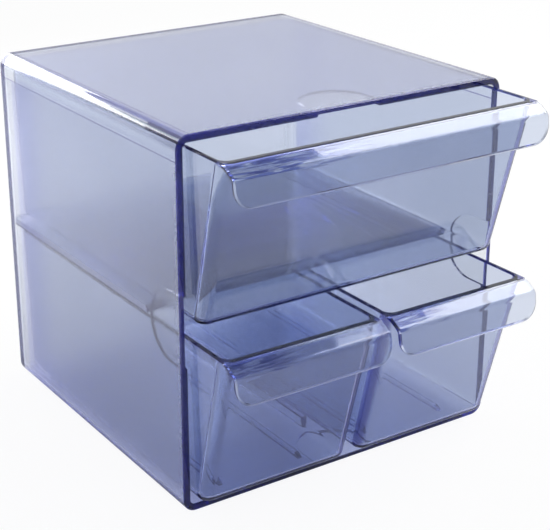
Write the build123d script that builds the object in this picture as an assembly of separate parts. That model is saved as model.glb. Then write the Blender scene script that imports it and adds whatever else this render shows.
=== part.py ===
from build123d import *
from math import atan2, tan
import os

# A stackable cube cabinet, moulded in tinted clear plastic, with one full-width drawer over two
# half-width drawers. Lengths are in millimetres and angles in degrees.
# X runs from left to right, Y from front to back and Z up. The origin is the middle of the
# cabinet's base, so the cabinet's front edges lie in the plane y = -cabinet_depth / 2.

# Cabinet shell
cabinet_width = 150.0
cabinet_depth = 150.0
cabinet_height = 150.0
cabinet_wall = 3.0
cabinet_corner_radius = 5.5
cabinet_inner_radius = 2.0
cabinet_back_radius = 3.0
cabinet_inner_back_radius = 2.0
edge_bevel = 0.5

# Clip recesses, sunk into the inner face of each wall at the front edge
recess_width = 29.0
recess_straight = 8.5
recess_cut = 1.2

# Middle shelf
shelf_thickness = 3.0
shelf_setback = 27.0
shelf_nose_radius = 1.0
shelf_corner_clearance = 0.4

# Runner ribs that carry the drawers, and the guide between the two lower drawers
runner_width = 2.0
runner_height = 1.7
runner_inset = 16.0
runner_front = 6.0
runner_lead_in = 3.0
guide_height = 6.0
guide_clearance = 0.3

# Room that the drawers run in
running_clearance = 0.3
rim_clearance = 0.3
side_clearance = 0.5
back_clearance = 5.0
middle_gap = 3.5

# Drawer bodies
drawer_wall = 2.0
drawer_edge_bevel = 0.6
drawer_floor = 2.0
drawer_corner_radius = 5.0
drawer_bottom_radius = 4.0
drawer_draft = 1.0
drawer_front_foot = 6.0
drawer_front_lean = 18.0

# Lip handles
lip_thickness = 2.0
lip_ledge_reach = 7.5
lip_ledge_drop = 3.5
lip_depth = 15.0
lip_forward = 1.5
lip_root_setback = 1.0
lip_fold_bend = 3.5
lip_corner_radius = 7.5

# Sizes that follow
overrun = 1.0
inner_width = cabinet_width - 2 * cabinet_wall
inner_depth = cabinet_depth - cabinet_wall
front_plane = -cabinet_depth / 2
inner_back = cabinet_depth / 2 - cabinet_wall
compartment_height = (cabinet_height - 2 * cabinet_wall - shelf_thickness) / 2
shelf_underside = cabinet_wall + compartment_height
shelf_top = shelf_underside + shelf_thickness
drawer_rise = runner_height + running_clearance
corner_reach = cabinet_inner_radius - side_clearance
corner_drop = cabinet_inner_radius - (cabinet_inner_radius**2 - corner_reach**2) ** 0.5
drawer_height = compartment_height - drawer_rise - corner_drop - rim_clearance
drawer_back = inner_back - back_clearance
drawer_foot_y = front_plane - drawer_front_foot
drawer_brow_y = drawer_foot_y - drawer_front_lean
full_drawer_width = inner_width - 2 * side_clearance
half_drawer_width = (full_drawer_width - middle_gap) / 2
half_drawer_x = (half_drawer_width + middle_gap) / 2


def clip_recess(wall_centre, outward):
    """A U-shaped pocket, open at the front edge and sunk outward into one wall."""
    inner_face = Plane(origin=wall_centre, x_dir=Vector(0, 1, 0).cross(outward), z_dir=outward)
    mouth = Rectangle(recess_width, recess_straight + overrun, align=(Align.CENTER, Align.MIN))
    outline = Pos(0, -overrun) * mouth + Pos(0, recess_straight) * Circle(recess_width / 2)
    return extrude(inner_face * outline, amount=recess_cut)


def clip_recesses():
    """One recess in the middle of each of the four walls."""
    middle = Vector(0, front_plane, cabinet_height / 2)
    to_side = Vector(inner_width / 2, 0, 0)
    to_top = Vector(0, 0, cabinet_height / 2 - cabinet_wall)
    return [clip_recess(middle + step, step.normalized()) for step in (to_side, -to_side, to_top, -to_top)]


def runner(x, bottom, front):
    """A low rib along the depth, with its front end sloped so that a drawer rides up on it."""
    side = Polyline(
        (front, bottom - overrun / 2),
        (front, bottom),
        (front + runner_lead_in, bottom + runner_height),
        (inner_back, bottom + runner_height),
        (inner_back, bottom - overrun / 2),
        close=True,
    )
    return extrude(Plane.YZ.offset(x) * make_face(side), amount=runner_width / 2, both=True)


def runners(drawer_x, drawer_width, bottom, front):
    """The two ribs under one drawer."""
    offset_x = drawer_width / 2 - runner_inset
    return [runner(drawer_x + side * offset_x, bottom, front) for side in (-1, 1)]


def cabinet():
    shell = Pos(0, 0, cabinet_height / 2) * Box(cabinet_width, cabinet_depth, cabinet_height)
    shell = fillet(shell.edges().filter_by(Axis.Y), cabinet_corner_radius)
    shell = fillet(shell.faces().sort_by(Axis.Y)[-1].edges(), cabinet_back_radius)
    hollow = Pos(0, -cabinet_wall / 2, cabinet_height / 2) * Box(
        inner_width, inner_depth, cabinet_height - 2 * cabinet_wall
    )
    hollow = fillet(hollow.edges().filter_by(Axis.Y), cabinet_inner_radius)
    hollow = fillet(hollow.faces().sort_by(Axis.Y)[-1].edges(), cabinet_inner_back_radius)
    shell -= hollow
    shell = chamfer(shell.faces().sort_by(Axis.Y)[0].edges(), edge_bevel)
    shell -= clip_recesses()
    floor_runners = [
        rib
        for side in (-1, 1)
        for rib in runners(side * half_drawer_x, half_drawer_width, cabinet_wall, front_plane + runner_front)
    ]
    guide_width = middle_gap - 2 * guide_clearance
    guide_length = cabinet_depth - shelf_setback - cabinet_wall
    guide = Box(guide_width, guide_length, guide_height, align=(Align.CENTER, Align.MAX, Align.MIN))
    guide = chamfer(guide.faces().sort_by(Axis.Z)[-1].edges().filter_by(Axis.Y), edge_bevel)
    return shell + floor_runners + Pos(0, inner_back, cabinet_wall) * guide


def middle_shelf():
    """The shelf lies between the side walls and against the back, face to face with all three."""
    length = inner_depth - shelf_setback
    shelf = Box(inner_width, length, shelf_thickness, align=(Align.CENTER, Align.MAX, Align.MIN))
    back_corners = shelf.edges().filter_by(Axis.Z).group_by(Axis.Y)[-1]
    shelf = fillet(back_corners, cabinet_inner_back_radius + shelf_corner_clearance)
    nose = shelf.faces().sort_by(Axis.Y)[0].edges().filter_by(Axis.X)
    shelf = fillet(nose, shelf_nose_radius)
    shelf = Pos(0, inner_back, shelf_underside) * shelf
    return shelf + runners(0, full_drawer_width, shelf_top, front_plane + shelf_setback + runner_lead_in)


def drawer_limits(width, height, inset):
    """Half the drawer's width and the places of its front and back, at one height above its underside."""
    rise = height / drawer_height
    drawn_in = drawer_draft * (1 - rise) + inset
    front = drawer_foot_y + (drawer_brow_y - drawer_foot_y) * rise + inset
    return width / 2 - drawn_in, front, drawer_back - drawn_in


def front_view(width, bottom, top, inset):
    """The drawer's drafted outline seen from the front, between two heights."""
    low_half = drawer_limits(width, bottom, inset)[0]
    high_half = drawer_limits(width, top, inset)[0]
    return Polygon((-low_half, bottom), (low_half, bottom), (high_half, top), (-high_half, top), align=None)


def side_view(width, bottom, top, inset):
    """The drawer's outline seen from the side, with the leaning front, between two heights."""
    _, low_front, low_back = drawer_limits(width, bottom, inset)
    _, high_front, high_back = drawer_limits(width, top, inset)
    return Polygon(
        (low_front, bottom), (low_back, bottom), (high_back, top), (high_front, top), align=None
    )


def drawer_form(width, bottom, top, inset, bottom_radius):
    """A drafted block with a leaning front, its upright and bottom edges rounded."""
    form = extrude(Plane.YZ * side_view(width, bottom, top, inset), amount=width, both=True)
    form &= extrude(Plane.XZ * front_view(width, bottom, top, inset), amount=cabinet_depth, both=True)
    uprights = form.edges().filter_by(Plane.XY, reverse=True)
    form = fillet(uprights, drawer_corner_radius - inset)
    return fillet(form.faces().sort_by(Axis.Z)[0].edges(), bottom_radius)


def lip_handle(width):
    """The ledge and hanging lip across the top of the front, folded from one thickness of plastic."""
    root_y = drawer_brow_y - lip_root_setback
    fold_y = drawer_brow_y - lip_ledge_reach
    slope = atan2(lip_ledge_drop, root_y - fold_y)
    root_bend = lip_root_setback / tan(slope / 2)
    outer_line = FilletPolyline(
        (drawer_brow_y + drawer_corner_radius, drawer_height),
        (root_y, drawer_height),
        (fold_y, drawer_height - lip_ledge_drop),
        (fold_y - lip_forward, drawer_height - lip_depth),
        radius=(root_bend, lip_fold_bend),
    )
    section = make_face(offset(outer_line, amount=lip_thickness, side=Side.LEFT))
    sheet = extrude(Plane.YZ * section, amount=width, both=True)
    outline = front_view(width, drawer_height - lip_depth, drawer_height + overrun, 0)
    outline = fillet(outline.vertices().group_by(Axis.Y)[0], lip_corner_radius)
    sheet &= extrude(Plane.XZ * outline, amount=cabinet_depth, both=True)
    lower_edges = sheet.edges().filter_by(Axis.X).group_by(Axis.Z)[0]
    return chamfer(lower_edges, drawer_edge_bevel)


def drawer(width):
    """A drawer with its underside at z = 0, in its closed place along Y."""
    body = drawer_form(width, 0, drawer_height, 0, drawer_bottom_radius)
    body = chamfer(body.faces().sort_by(Axis.Z)[-1].edges(), drawer_edge_bevel)
    inside = drawer_form(
        width, drawer_floor, drawer_height + overrun, drawer_wall, drawer_bottom_radius - drawer_floor
    )
    tub = body + lip_handle(width) - inside
    mouth = tub.faces().sort_by(Axis.Z)[-1].inner_wires()[0].edges()
    return chamfer(mouth, drawer_edge_bevel)


parts = {
    "cabinet": cabinet(),
    "middle_shelf": middle_shelf(),
    "top_drawer": Pos(0, 0, shelf_top + drawer_rise) * drawer(full_drawer_width),
    "lower_left_drawer": Pos(-half_drawer_x, 0, cabinet_wall + drawer_rise) * drawer(half_drawer_width),
    "lower_right_drawer": Pos(half_drawer_x, 0, cabinet_wall + drawer_rise) * drawer(half_drawer_width),
}

os.makedirs("parts", exist_ok=True)
for name, solid in parts.items():
    export_step(solid, f"parts/{name}.step")
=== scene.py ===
from math import radians

import bpy
from mathutils import Matrix, Vector

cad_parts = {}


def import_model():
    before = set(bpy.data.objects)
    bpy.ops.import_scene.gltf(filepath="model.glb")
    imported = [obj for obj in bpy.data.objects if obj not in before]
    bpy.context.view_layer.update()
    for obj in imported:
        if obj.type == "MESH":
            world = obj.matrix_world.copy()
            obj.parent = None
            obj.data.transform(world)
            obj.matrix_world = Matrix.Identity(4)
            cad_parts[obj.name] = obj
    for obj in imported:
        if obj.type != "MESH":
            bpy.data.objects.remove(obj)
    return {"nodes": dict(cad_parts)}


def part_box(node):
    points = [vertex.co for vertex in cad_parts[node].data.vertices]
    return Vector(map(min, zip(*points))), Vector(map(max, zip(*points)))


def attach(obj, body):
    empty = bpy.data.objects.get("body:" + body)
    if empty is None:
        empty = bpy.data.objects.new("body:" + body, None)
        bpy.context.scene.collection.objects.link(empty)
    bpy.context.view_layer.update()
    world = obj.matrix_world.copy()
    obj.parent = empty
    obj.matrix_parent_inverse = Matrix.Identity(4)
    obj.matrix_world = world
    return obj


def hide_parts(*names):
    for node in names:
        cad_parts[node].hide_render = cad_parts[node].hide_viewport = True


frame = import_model()
bpy.context.view_layer.update()

# A stackable cube cabinet in tinted clear plastic, with one full-width drawer over two half-width drawers.
# Lengths are in metres and angles in degrees. X runs from left to right, Y from front to back and Z up.

# Camera: its place, where it turns, and the frame that it fills
camera_place = Vector((-0.3082, -0.4793, 0.2905))
camera_azimuth = -33.02
camera_elevation = 20.88
camera_roll = -0.34
frame_width_px = 550
frame_height_px = 530
focal_length_px = 1413.5
optical_axis_px = (248.0, 237.9)
sensor_width_mm = 36.0

# Plastic: what a metre of it takes out of red, green and blue light, and how far it bends light
plastic_ior = 1.52
shell_absorption = (38.0, 36.0, 14.0)
drawer_absorption = (60.0, 54.0, 15.0)
shell_tint = (0.955, 0.975, 0.945, 1)
drawer_tint = (0.735, 0.78, 0.825, 1)
lamp_light_through = (0.87, 0.88, 0.91, 1)
light_bounces = 96

# Finish of the surfaces
polished = 0.03
frosted = 0.27
worn_roughness = 0.25
hairline_roughness = 0.12
wear_reach = 0.0022
wear_paleness = 0.12
wear_patches_per_metre = 260.0
hairline_stretches = ((40.0, 1.0, 6.0), (1.0, 34.0, 5.0))
hairlines_per_metre = 60.0
handled_places_per_metre = 22.0
clouds_per_metre = 14.0
cloud_paleness = 0.15
shell_waves = 0.00002
wall_waves = 0.00003
lip_waves = 0.00008
panel_grain = 0.000006
waves_per_metre = 55.0
grains_per_metre = 1500.0

# Frosted panels on the cabinet's outer faces, the polished margins around them, and the shade and shadow
# painted on its edges, recesses and side panels
wall = 0.003
recess_cut = 0.0012
back_radius = 0.003
recess_reach = 0.0235
side_panel_bottom = 0.0035
side_margin_below_top = 0.0098
top_margin = 0.0055
margin_line_width = 0.0006
# Painted shade: a thin dark line along the border of each frosted panel
margin_shade_line_tint = (0.24, 0.22, 0.4, 1)
# Painted shade: a darker lavender band down each side panel, in front of the paler zone at the back
back_shade_start = 0.03
back_shade_full = 0.0605
back_shade_end = 0.064
back_shade_tint = (0.58, 0.6, 0.86, 1)
rim_depth = 0.0006
# Deep blue of the walls' front edges: partly the plastic's tint seen along the wall, partly painted shade
rim_shade_tint = (0.012, 0.008, 0.35, 1)
# Painted shade: the step faces of the clip recesses are near black, so the recess edge shows as a thin dark
# line
recess_step_shade_tint = (0.02, 0.02, 0.1, 1)
# Painted shadow: the middle of the floor wall's front edge is near black, where the shade under the cabinet
# shows in it
foot_shadow_half_width = 0.064
foot_shadow_tint = (0.03, 0.018, 0.016, 1)
face_skin = 0.0001

# Drawers: places on them, the deep blue of their rims (partly the tint seen along the wall, partly painted
# shade), the painted shade on their uprights and the painted dark reflections on their ledges
drawer_rim_depth = 0.0007
# Rim blue: partly the plastic's tint seen along the wall, partly painted shade
drawer_rim_shade_tint = (0.36, 0.44, 0.98, 1)
lip_depth = 0.015
lip_reach = 0.0035
lip_edge_roughness = 0.22
lip_edge_ior = 3.0
lip_root = -0.098
lip_fade = 0.002
front_lean = 0.018
front_foot = -0.081
front_skin = 0.0005
upright_reach = 0.0045
# Painted shade: dark navy on the rounded front uprights
upright_shade_tint = (0.1, 0.1, 0.34, 1)
front_rim_back = -0.0955
ledge_drop = 0.0045
left_part_fade = (0.2, 0.5)
streak_stretch = (0.1, 1.0, 1.0)
streak_levels = (0.5, 0.56)
streaks_per_metre = 700.0
# Painted reflection: drawn-out dark blue streaks on the left part of each ledge
reflection_streak_tint = (0.018, 0.05, 0.36, 1)

# The shelf's bonded joints
joint_gap = 0.00006
weld_distance = 0.000005
smooth_below = 30
shelf_bottom = 0.0735
joint_stretch = (1.0, 0.3, 3.0)
joint_streaks_per_metre = 400.0
joint_pale = ((0.56, 0.59, 0.82, 1), (0.66, 0.69, 0.88, 1))
seam_tint = (0.1, 0.11, 0.2, 1)
seam_top = (0.0004, 0.0009)

# Floor and surround: their greys, and how much of their white is seen straight and in or through the plastic
floor_size = 8
floor_drop = 0.0005
floor_grey = (0.78, 0.78, 0.78, 1)
floor_white_in_view = 0.92
white_mirrored = 0.12
surround_grey = (0.56, 0.57, 0.59, 1)

# Each lamp's place, what it faces, its width and height, and its watts
lamps = {
    "edge_light": ((-0.14, 0.6, 0.31), (-0.07, 0.05, 0.14), (0.44, 0.34), 2.6),
    "ledge_light": ((1.0, -0.06, 0.95), (0.03, -0.1, 0.14), (1.05, 0.8), 14),
    "backdrop_light": ((1.316, 1.88, 0.85), (0, 0, 0.15), (2.4, 1.2), 2.6),
}

white = (1, 1, 1, 1)
drawer_names = ("top_drawer", "lower_left_drawer", "lower_right_drawer")


def feed(tree, socket, value):
    """Sets an input to a number or colour, or links another node's output to it."""
    if isinstance(value, bpy.types.NodeSocket):
        tree.links.new(value, socket)
    else:
        socket.default_value = value


def math(tree, operation, *values):
    node = tree.nodes.new("ShaderNodeMath")
    node.operation = operation
    for socket, value in zip(node.inputs, values):
        feed(tree, socket, value)
    return node.outputs[0]


def vector_math(tree, operation, *values):
    node = tree.nodes.new("ShaderNodeVectorMath")
    node.operation = operation
    for socket, value in zip(node.inputs, values):
        feed(tree, socket, value)
    return node.outputs[0]


def ramp(tree, value, low, high, at_low=0.0, at_high=1.0):
    """A smooth rise or fall of a value between two of its levels."""
    node = tree.nodes.new("ShaderNodeMapRange")
    node.interpolation_type = "SMOOTHSTEP"
    for name, setting in (
        ("Value", value),
        ("From Min", low),
        ("From Max", high),
        ("To Min", at_low),
        ("To Max", at_high),
    ):
        feed(tree, node.inputs[name], setting)
    return node.outputs[0]


def blend_colour(tree, share, first, second):
    node = tree.nodes.new("ShaderNodeMix")
    node.data_type = "RGBA"
    colours = [socket for socket in node.inputs if socket.type == "RGBA"]
    feed(tree, node.inputs[0], share)
    feed(tree, colours[0], first)
    feed(tree, colours[1], second)
    return next(socket for socket in node.outputs if socket.type == "RGBA")


def noise(tree, position, features_per_metre, detail=2.0):
    node = tree.nodes.new("ShaderNodeTexNoise")
    node.inputs["Detail"].default_value = detail
    feed(tree, node.inputs["Vector"], position)
    feed(tree, node.inputs["Scale"], features_per_metre)
    return node.outputs["Fac"]


def split(tree, vector):
    node = tree.nodes.new("ShaderNodeSeparateXYZ")
    feed(tree, node.inputs[0], vector)
    return node.outputs


def shader_group(name, inputs, outputs):
    """A node group with its named sockets, and its two end nodes."""
    group = bpy.data.node_groups.new(name, "ShaderNodeTree")
    for label, kind in inputs:
        group.interface.new_socket(name=label, in_out="INPUT", socket_type=f"NodeSocket{kind}")
    for label, kind in outputs:
        group.interface.new_socket(name=label, in_out="OUTPUT", socket_type=f"NodeSocket{kind}")
    given = group.nodes.new("NodeGroupInput").outputs
    result = group.nodes.new("NodeGroupOutput").inputs
    return group, given, result


def place_group(tree, group, **values):
    node = tree.nodes.new("ShaderNodeGroup")
    node.node_tree = group
    for label, value in values.items():
        feed(tree, node.inputs[label.replace("_", " ")], value)
    return node.outputs


def edge_wear_group():
    """Worn places along the edges of a box: high within the reach of an edge, broken up and faded."""
    group, given, result = shader_group(
        "edge_wear",
        (("Position", "Vector"), ("Centre", "Vector"), ("Half Size", "Vector"), ("Reach", "Float")),
        (("Worn", "Float"),),
    )
    from_centre = vector_math(group, "SUBTRACT", given["Position"], given["Centre"])
    from_centre = vector_math(group, "ABSOLUTE", from_centre)
    inward = split(group, vector_math(group, "SUBTRACT", given["Half Size"], from_centre))
    nearer = math(group, "MINIMUM", inward[0], inward[1])
    farther = math(group, "MAXIMUM", inward[0], inward[1])
    from_edge = math(group, "MAXIMUM", nearer, math(group, "MINIMUM", farther, inward[2]))
    near_edge = math(group, "SUBTRACT", 1.0, math(group, "DIVIDE", from_edge, given["Reach"]))
    patches = ramp(group, noise(group, given["Position"], wear_patches_per_metre, 4.0), 0.42, 0.66)
    group.links.new(math(group, "MULTIPLY", ramp(group, near_edge, 0.0, 1.0), patches), result["Worn"])
    return group


def handling_group():
    """Fine hairlines from use in two directions, and a faint cloudiness."""
    group, given, result = shader_group(
        "handling",
        (("Position", "Vector"),),
        (("Hairlines", "Float"), ("Cloud", "Float")),
    )
    lines = []
    for stretch in hairline_stretches:
        drawn_out = vector_math(group, "MULTIPLY", given["Position"], stretch)
        finer = vector_math(group, "MULTIPLY", drawn_out, (hairlines_per_metre,) * 3)
        lines.append(ramp(group, noise(group, finer, 1.0, 3.0), 0.63, 0.74))
    either = math(group, "MAXIMUM", *lines)
    where = ramp(group, noise(group, given["Position"], handled_places_per_metre, 1.0), 0.45, 0.65)
    group.links.new(math(group, "MULTIPLY", either, where), result["Hairlines"])
    group.links.new(noise(group, given["Position"], clouds_per_metre, 2.0), result["Cloud"])
    return group


def moulded_skin_group():
    """The height of a moulded face: slow waves in the sheet and the fine grain of the mould, in metres."""
    group, given, result = shader_group(
        "moulded_skin",
        (("Position", "Vector"), ("Wave Height", "Float"), ("Grain Height", "Float")),
        (("Height", "Float"),),
    )
    slow = noise(group, given["Position"], waves_per_metre, 2.0)
    waves = math(group, "MULTIPLY", slow, given["Wave Height"])
    fine = noise(group, given["Position"], grains_per_metre, 2.0)
    grain = math(group, "MULTIPLY", fine, given["Grain Height"])
    group.links.new(math(group, "ADD", waves, grain), result["Height"])
    return group


def tinted_plastic(name, absorption):
    """Clear tinted plastic that lets lamp light through, with its tint in its depth."""
    made = bpy.data.materials.new(name)
    made.use_nodes = True
    tree = made.node_tree
    tree.nodes.clear()
    output = tree.nodes.new("ShaderNodeOutputMaterial")
    body = tree.nodes.new("ShaderNodeBsdfPrincipled")
    body.inputs["IOR"].default_value = plastic_ior
    body.inputs["Transmission Weight"].default_value = 1
    open_to_lamps = tree.nodes.new("ShaderNodeBsdfTransparent")
    open_to_lamps.inputs["Color"].default_value = lamp_light_through
    path = tree.nodes.new("ShaderNodeLightPath")
    mix = tree.nodes.new("ShaderNodeMixShader")
    inside = tree.nodes.new("ShaderNodeVolumeAbsorption")
    density = max(absorption)
    inside.inputs["Color"].default_value = (*(1 - taken / density for taken in absorption), 1)
    inside.inputs["Density"].default_value = density
    tree.links.new(path.outputs["Is Shadow Ray"], mix.inputs["Fac"])
    tree.links.new(body.outputs["BSDF"], mix.inputs[1])
    tree.links.new(open_to_lamps.outputs["BSDF"], mix.inputs[2])
    tree.links.new(mix.outputs["Shader"], output.inputs["Surface"])
    tree.links.new(inside.outputs["Volume"], output.inputs["Volume"])
    return made, tree, body


def finish_surface(tree, body, position, box, tint, base_roughness, scuffed, wave_height, grain_height):
    """Colour, roughness and bump of a moulded face, with wear along the edges of its box."""
    low, high = box
    worn = place_group(
        tree,
        edge_wear,
        Position=position,
        Centre=tuple((low + high) / 2),
        Half_Size=tuple((high - low) / 2),
        Reach=wear_reach,
    )["Worn"]
    use = place_group(tree, handling, Position=position)
    heights = {"Wave_Height": wave_height, "Grain_Height": grain_height}
    skin = place_group(tree, moulded_skin, Position=position, **heights)
    scratches = math(tree, "MULTIPLY", use["Hairlines"], scuffed)
    lines = math(tree, "MULTIPLY", scratches, hairline_roughness)
    wear = math(tree, "MULTIPLY", worn, worn_roughness)
    rough = math(tree, "ADD", math(tree, "ADD", base_roughness, lines), wear)
    feed(tree, body.inputs["Roughness"], math(tree, "MINIMUM", rough, 1.0))
    cloudy = ramp(tree, use["Cloud"], 0.35, 0.65, 0.0, cloud_paleness)
    faded = math(tree, "MULTIPLY", worn, wear_paleness)
    colour = blend_colour(tree, faded, blend_colour(tree, cloudy, tint, white), white)
    feed(tree, body.inputs["Base Color"], colour)
    bump = tree.nodes.new("ShaderNodeBump")
    bump.inputs["Strength"].default_value = 1
    bump.inputs["Distance"].default_value = 1
    feed(tree, bump.inputs["Height"], skin["Height"])
    feed(tree, body.inputs["Normal"], bump.outputs["Normal"])


def within(tree, value, low, high):
    above = math(tree, "GREATER_THAN", value, low)
    return math(tree, "MULTIPLY", above, math(tree, "LESS_THAN", value, high))


def shell_plastic():
    """The cabinet's plastic: frosted side and top panels, hazy rear and lower edges, the rest polished, with
    shade and shadow painted on its edges, recess steps and side panels.
    """
    low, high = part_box("cabinet")
    made, tree, body = tinted_plastic("shell_plastic", shell_absorption)
    position = tree.nodes.new("ShaderNodeTexCoord").outputs["Object"]
    x, y, z = split(tree, position)
    sideways = math(tree, "ABSOLUTE", x)
    inside_x = high[0] - wall
    inside_z = high[2] - wall
    on_side = math(tree, "GREATER_THAN", sideways, high[0] - face_skin)
    on_top = math(tree, "GREATER_THAN", z, high[2] - face_skin)
    panel_top = high[2] - side_margin_below_top
    panel_edge = high[0] - top_margin
    side_panel = math(tree, "MULTIPLY", on_side, within(tree, z, side_panel_bottom, panel_top))
    top_panel = math(tree, "MULTIPLY", on_top, math(tree, "LESS_THAN", sideways, panel_edge))
    panel = math(tree, "MAXIMUM", side_panel, top_panel)
    # Painted shade lines along the borders of the side and top panels
    side_line = math(tree, "MULTIPLY", on_side, within(tree, z, panel_top, panel_top + margin_line_width))
    top_line = within(tree, sideways, panel_edge - margin_line_width, panel_edge)
    top_line = math(tree, "MULTIPLY", on_top, top_line)
    # Painted shade on the step faces of the clip recesses near the front
    step_side = within(tree, sideways, inside_x + face_skin, inside_x + recess_cut - face_skin)
    step_top = within(tree, z, inside_z + face_skin, inside_z + recess_cut - face_skin)
    near_front = math(tree, "LESS_THAN", y, low[1] + recess_reach)
    recess_shade = math(tree, "MULTIPLY", near_front, math(tree, "MAXIMUM", step_side, step_top))
    at_back = math(tree, "GREATER_THAN", y, high[1] - back_radius)
    low_edge = math(tree, "LESS_THAN", z, low[2] + side_panel_bottom)
    low_edge = math(tree, "MULTIPLY", low_edge, math(tree, "GREATER_THAN", sideways, high[0] - back_radius))
    hazy = math(tree, "MAXIMUM", panel, math(tree, "MAXIMUM", at_back, low_edge))
    rough = math(tree, "ADD", polished, math(tree, "MULTIPLY", hazy, frosted - polished))
    grain = math(tree, "MULTIPLY", panel, panel_grain)
    # Front edges of the walls: their deep blue is partly the tint seen along the wall, partly painted shade
    on_rim = math(tree, "LESS_THAN", y, low[1] + rim_depth)
    # Painted shadow on the middle of the floor wall's front edge
    foot_shadow = math(tree, "LESS_THAN", z, low[2] + wall)
    foot_shadow = math(tree, "MULTIPLY", foot_shadow, math(tree, "LESS_THAN", sideways, foot_shadow_half_width))
    # Painted shade band on the side panels, in front of the paler zone at the back
    rising = ramp(tree, y, back_shade_start, back_shade_full)
    falling = ramp(tree, y, back_shade_full, back_shade_end, 1.0, 0.0)
    back_shade = math(tree, "MULTIPLY", side_panel, math(tree, "MULTIPLY", rising, falling))
    tint = blend_colour(tree, back_shade, shell_tint, back_shade_tint)
    tint = blend_colour(tree, on_rim, tint, blend_colour(tree, foot_shadow, rim_shade_tint, foot_shadow_tint))
    tint = blend_colour(tree, math(tree, "MAXIMUM", side_line, top_line), tint, margin_shade_line_tint)
    tint = blend_colour(tree, recess_shade, tint, recess_step_shade_tint)
    scuffed = math(tree, "SUBTRACT", 1.0, hazy)
    finish_surface(tree, body, position, (low, high), tint, rough, scuffed, shell_waves, grain)
    return made


def clear_finish(tree, body, position, box, tint):
    """Polished all over, wavy as a thin wall is, and wavier on a lip."""
    on_lip = ramp(tree, split(tree, position)[1], lip_root - lip_fade, lip_root, 1.0, 0.0)
    waves = math(tree, "ADD", wall_waves, math(tree, "MULTIPLY", on_lip, lip_waves))
    finish_surface(tree, body, position, box, tint, polished, 1.0, waves, 0.0)


def shelf_plastic():
    """The shelf's clear plastic, of one tint throughout."""
    made, tree, body = tinted_plastic("shelf_plastic", drawer_absorption)
    position = tree.nodes.new("ShaderNodeTexCoord").outputs["Object"]
    clear_finish(tree, body, position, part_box("middle_shelf"), drawer_tint)
    return made


def shaded_uprights(tree, x, y, z, box):
    """A mask of the rounded front uprights that get a painted dark blue shade: right ones, and both at the
    middle.
    """
    low, high = box
    slope = front_lean / (high[2] - low[2])
    lean = math(tree, "MULTIPLY", math(tree, "SUBTRACT", z, low[2]), slope)
    from_front = math(tree, "SUBTRACT", math(tree, "ADD", y, lean), front_foot)
    to_right = ramp(tree, x, high[0] - upright_reach, high[0] - upright_reach / 2)
    if low[0] > 0:
        to_left = ramp(tree, x, low[0] + upright_reach / 2, low[0] + upright_reach, 1.0, 0.0)
        to_right = math(tree, "MAXIMUM", to_right, to_left)
    return math(tree, "MULTIPLY", within(tree, from_front, -front_skin, upright_reach), to_right)


def left_part(tree, x, box):
    """The left part of a drawer's width, fading out before the middle."""
    low, high = box
    width = high[0] - low[0]
    full, gone = left_part_fade
    return ramp(tree, x, low[0] + full * width, low[0] + gone * width, 1.0, 0.0)


def ledge_reflection_streaks(tree, position, x, y, z, box):
    """A mask of the drawn-out blue streaks painted on the left part of a ledge as its dark reflections."""
    high = box[1]
    on_ledge = within(tree, z, high[2] - ledge_drop, high[2])
    on_ledge = math(tree, "MULTIPLY", on_ledge, math(tree, "LESS_THAN", y, lip_root))
    drawn_out = vector_math(tree, "MULTIPLY", position, streak_stretch)
    streaks = ramp(tree, noise(tree, drawn_out, streaks_per_metre, 3.0), *streak_levels)
    on_left = math(tree, "MULTIPLY", on_ledge, left_part(tree, x, box))
    return math(tree, "MULTIPLY", on_left, streaks)


def drawer_plastic(node):
    """A drawer's clear plastic: deep blue in rim (partly its tint along the wall, partly painted shade),
    painted shade on uprights, painted dark reflections on the ledge, and paler on its lip's lower edge.
    """
    low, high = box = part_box(node)
    made, tree, body = tinted_plastic(f"{node}_plastic", drawer_absorption)
    position = tree.nodes.new("ShaderNodeTexCoord").outputs["Object"]
    x, y, z = split(tree, position)
    # Rim blue, partly the tint along the wall and partly painted shade, left off the lit right part of the
    # front rim
    in_rim = math(tree, "GREATER_THAN", z, high[2] - drawer_rim_depth)
    behind_front = math(tree, "GREATER_THAN", y, front_rim_back)
    shown_rim = math(tree, "MAXIMUM", behind_front, left_part(tree, x, box))
    in_rim = math(tree, "MULTIPLY", in_rim, shown_rim)
    tint = blend_colour(tree, in_rim, drawer_tint, drawer_rim_shade_tint)
    # Painted dark blue shade on the rounded front uprights
    tint = blend_colour(tree, shaded_uprights(tree, x, y, z, box), tint, upright_shade_tint)
    # Painted dark reflections on the left part of the ledge
    tint = blend_colour(tree, ledge_reflection_streaks(tree, position, x, y, z, box), tint, reflection_streak_tint)
    clear_finish(tree, body, position, box, tint)
    lip_bottom = high[2] - lip_depth
    lip_edge = within(tree, z, lip_bottom - face_skin, lip_bottom + drawer_rim_depth)
    lip_edge = math(tree, "MULTIPLY", lip_edge, math(tree, "LESS_THAN", y, low[1] + lip_reach))
    feed(tree, body.inputs["Coat Weight"], lip_edge)
    body.inputs["Coat Roughness"].default_value = lip_edge_roughness
    body.inputs["Coat IOR"].default_value = lip_edge_ior
    return made


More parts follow.
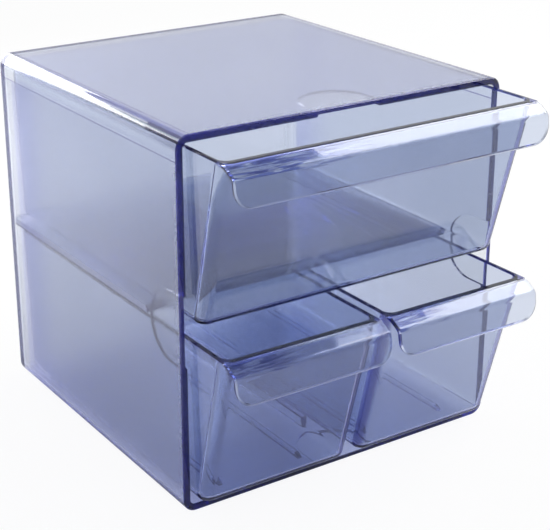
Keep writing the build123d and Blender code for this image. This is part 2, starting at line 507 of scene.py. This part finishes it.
def bonded_edge():
    """The hazy pale joint where the shelf's edge is bonded to the side walls."""
    made = bpy.data.materials.new("bonded_edge")
    made.use_nodes = True
    tree = made.node_tree
    body = tree.nodes["Principled BSDF"]
    position = tree.nodes.new("ShaderNodeTexCoord").outputs["Object"]
    drawn_out = vector_math(tree, "MULTIPLY", position, joint_stretch)
    streaks = noise(tree, drawn_out, joint_streaks_per_metre, 3.0)
    pale = blend_colour(tree, streaks, *joint_pale)
    height = split(tree, position)[2]
    seam = ramp(tree, height, shelf_bottom + seam_top[0], shelf_bottom + seam_top[1], 1.0, 0.0)
    feed(tree, body.inputs["Base Color"], blend_colour(tree, seam, pale, seam_tint))
    feed(tree, body.inputs["Roughness"], ramp(tree, streaks, 0.2, 0.8, 0.45, 0.7))
    return made


def bonded_shelf():
    """The middle shelf, standing a hair off the walls, with its hazy joints along both sides."""
    shown = frame["nodes"]["middle_shelf"].copy()
    shown.data = frame["nodes"]["middle_shelf"].data.copy()
    shown.name = "bonded_shelf"
    bpy.context.scene.collection.objects.link(shown)
    bpy.ops.object.select_all(action="DESELECT")
    shown.select_set(True)
    bpy.context.view_layer.objects.active = shown
    bpy.ops.object.mode_set(mode="EDIT")
    bpy.ops.mesh.select_all(action="SELECT")
    bpy.ops.mesh.remove_doubles(threshold=weld_distance)
    bpy.ops.mesh.customdata_custom_splitnormals_clear()
    half_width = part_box("middle_shelf")[1][0]
    bpy.ops.transform.resize(value=(1 - joint_gap / half_width, 1, 1), center_override=(0, 0, 0))
    bpy.ops.transform.translate(value=(0, -joint_gap, 0))
    bpy.ops.object.mode_set(mode="OBJECT")
    shown.data.materials.clear()
    shown.data.materials.append(shelf_plastic())
    shown.data.materials.append(bonded_edge())
    side_plane = half_width - 2 * joint_gap
    for face in shown.data.polygons:
        face.material_index = int(abs(face.normal.x) > 0.99 and abs(face.center.x) > side_plane)
    bpy.ops.object.shade_smooth_by_angle(angle=radians(smooth_below))
    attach(shown, "cabinet")
    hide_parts("middle_shelf")


def dress(node, finish):
    """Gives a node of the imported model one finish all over."""
    for slot in frame["nodes"][node].material_slots:
        slot.material = finish


def camera():
    data = bpy.data.cameras.new("camera")
    data.sensor_width = sensor_width_mm
    data.lens = sensor_width_mm * focal_length_px / frame_width_px
    data.shift_x = (frame_width_px / 2 - optical_axis_px[0]) / frame_width_px
    data.shift_y = (optical_axis_px[1] - frame_height_px / 2) / frame_width_px
    data.clip_start = 0.01
    data.clip_end = 50
    made = bpy.data.objects.new("camera", data)
    turn = Matrix.Rotation(radians(camera_azimuth), 4, "Z")
    turn @= Matrix.Rotation(radians(90 - camera_elevation), 4, "X")
    turn @= Matrix.Rotation(radians(camera_roll), 4, "Z")
    made.matrix_world = Matrix.Translation(camera_place) @ turn
    bpy.context.scene.collection.objects.link(made)
    bpy.context.scene.camera = made


def floor():
    """A pale floor that shows as white and keeps a soft shadow of the object."""
    bpy.ops.mesh.primitive_plane_add(size=floor_size, location=(0, 0, -floor_drop))
    made = bpy.context.object
    made.name = "floor"
    finish = bpy.data.materials.new("floor")
    finish.use_nodes = True
    tree = finish.node_tree
    tree.nodes.clear()
    output = tree.nodes.new("ShaderNodeOutputMaterial")
    pale = tree.nodes.new("ShaderNodeBsdfDiffuse")
    pale.inputs["Color"].default_value = floor_grey
    glow = tree.nodes.new("ShaderNodeEmission")
    glow.inputs["Color"].default_value = white
    path = tree.nodes.new("ShaderNodeLightPath").outputs
    plain_view = math(tree, "MULTIPLY", path["Is Camera Ray"], floor_white_in_view)
    mirrored = math(tree, "MAXIMUM", path["Is Glossy Ray"], path["Is Transmission Ray"])
    through_view = math(tree, "MULTIPLY", mirrored, white_mirrored)
    mix = tree.nodes.new("ShaderNodeMixShader")
    feed(tree, mix.inputs["Fac"], math(tree, "MAXIMUM", plain_view, through_view))
    tree.links.new(pale.outputs["BSDF"], mix.inputs[1])
    tree.links.new(glow.outputs["Emission"], mix.inputs[2])
    tree.links.new(mix.outputs["Shader"], output.inputs["Surface"])
    made.data.materials.append(finish)


def world():
    """A pale surround that shows as white to the camera and gives the plastic something soft to mirror."""
    made = bpy.data.worlds.new("surround")
    bpy.context.scene.world = made
    made.use_nodes = True
    tree = made.node_tree
    tree.nodes.clear()
    output = tree.nodes.new("ShaderNodeOutputWorld")
    back = tree.nodes.new("ShaderNodeBackground")
    back.inputs["Color"].default_value = surround_grey
    seen = tree.nodes.new("ShaderNodeBackground")
    seen.inputs["Color"].default_value = white
    path = tree.nodes.new("ShaderNodeLightPath").outputs
    mix = tree.nodes.new("ShaderNodeMixShader")
    mirrored = math(tree, "MAXIMUM", path["Is Glossy Ray"], path["Is Transmission Ray"])
    through_view = math(tree, "MULTIPLY", mirrored, white_mirrored)
    feed(tree, mix.inputs["Fac"], math(tree, "MAXIMUM", path["Is Camera Ray"], through_view))
    tree.links.new(back.outputs["Background"], mix.inputs[1])
    tree.links.new(seen.outputs["Background"], mix.inputs[2])
    tree.links.new(mix.outputs["Shader"], output.inputs["Surface"])


def softbox(name, place, target, size, power):
    data = bpy.data.lights.new(name, "AREA")
    data.shape = "RECTANGLE"
    data.size, data.size_y = size
    data.energy = power
    made = bpy.data.objects.new(name, data)
    made.visible_camera = False
    made.location = place
    made.rotation_mode = "QUATERNION"
    made.rotation_quaternion = (Vector(target) - Vector(place)).to_track_quat("-Z", "Y")
    bpy.context.scene.collection.objects.link(made)


bpy.ops.object.select_all(action="DESELECT")
camera()
world()
floor()
for lamp_name, lamp in lamps.items():
    softbox(lamp_name, *lamp)

edge_wear = edge_wear_group()
handling = handling_group()
moulded_skin = moulded_skin_group()
dress("cabinet", shell_plastic())
for drawer in drawer_names:
    dress(drawer, drawer_plastic(drawer))
bonded_shelf()

scene = bpy.context.scene
scene.view_settings.view_transform = "Standard"
scene.cycles.max_bounces = light_bounces
scene.cycles.glossy_bounces = light_bounces
scene.cycles.transmission_bounces = light_bounces
scene.cycles.transparent_max_bounces = light_bounces
